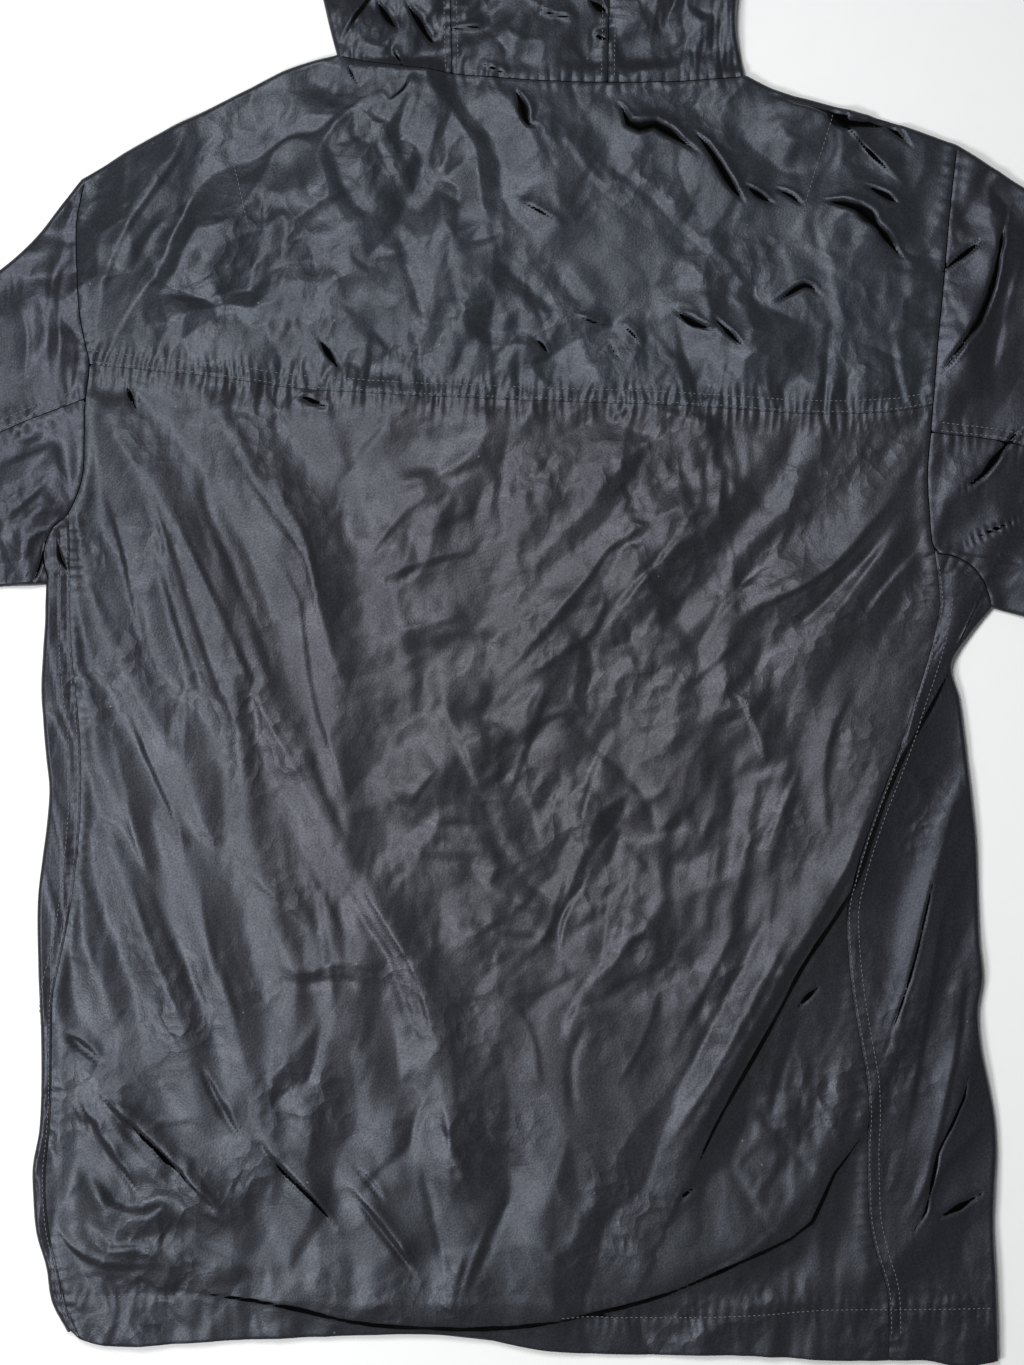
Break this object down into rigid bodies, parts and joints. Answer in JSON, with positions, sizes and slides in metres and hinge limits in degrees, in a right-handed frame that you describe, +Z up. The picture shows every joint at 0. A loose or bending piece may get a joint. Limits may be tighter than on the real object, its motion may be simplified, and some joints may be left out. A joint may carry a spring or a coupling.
{
  "type": "windbreaker jacket",
  "caption": "Hooded satin nylon windbreaker with a back yoke, two-piece sleeves and a closed front zip, laid flat with its back up.",
  "frame": {"origin": "on the table under the middle of the laid-out garment's outline", "axes": "+X to the right sleeve seen from above the back, +Y from hem to hood, +Z up out of the back"},
  "size_m": [1.319, 1.1203, 0.017],
  "materials": {
    "nylon_back": "dark charcoal nylon satin, soft sheen, creased",
    "nylon_yoke": "dark charcoal nylon satin, soft sheen, puckered at the seams",
    "nylon_front": "dark charcoal nylon satin, soft sheen",
    "nylon_sleeve": "dark charcoal nylon satin, soft sheen, creased",
    "nylon_hood": "dark charcoal nylon satin, soft sheen, creased",
    "zip_tape": "black woven tape with a moulded coil",
    "zip_metal": "black lacquer, semi-gloss"
  },
  "bodies": {
    "jacket": {"back_body": "nylon_back", "back_yoke": "nylon_yoke", "front_left": "nylon_front", "front_right": "nylon_front", "sleeve_top_left": "nylon_sleeve", "sleeve_top_right": "nylon_sleeve", "sleeve_under_left": "nylon_sleeve", "sleeve_under_right": "nylon_sleeve", "hood_left": "nylon_hood", "hood_right": "nylon_hood", "hood_centre": "nylon_hood", "zip_chain": "zip_tape", "zip_slider": "zip_metal"},
    "pull_tab": {"zip_pull": "zip_metal"}
  },
  "joints": [
    {"name": "pull_tab_hinge", "type": "hinge", "parent": "jacket", "child": "pull_tab", "pos_m": [0.0155, 0.18315, 0.0012], "axis": [1, 0, 0], "range_deg": [0, 170]}
  ]
}
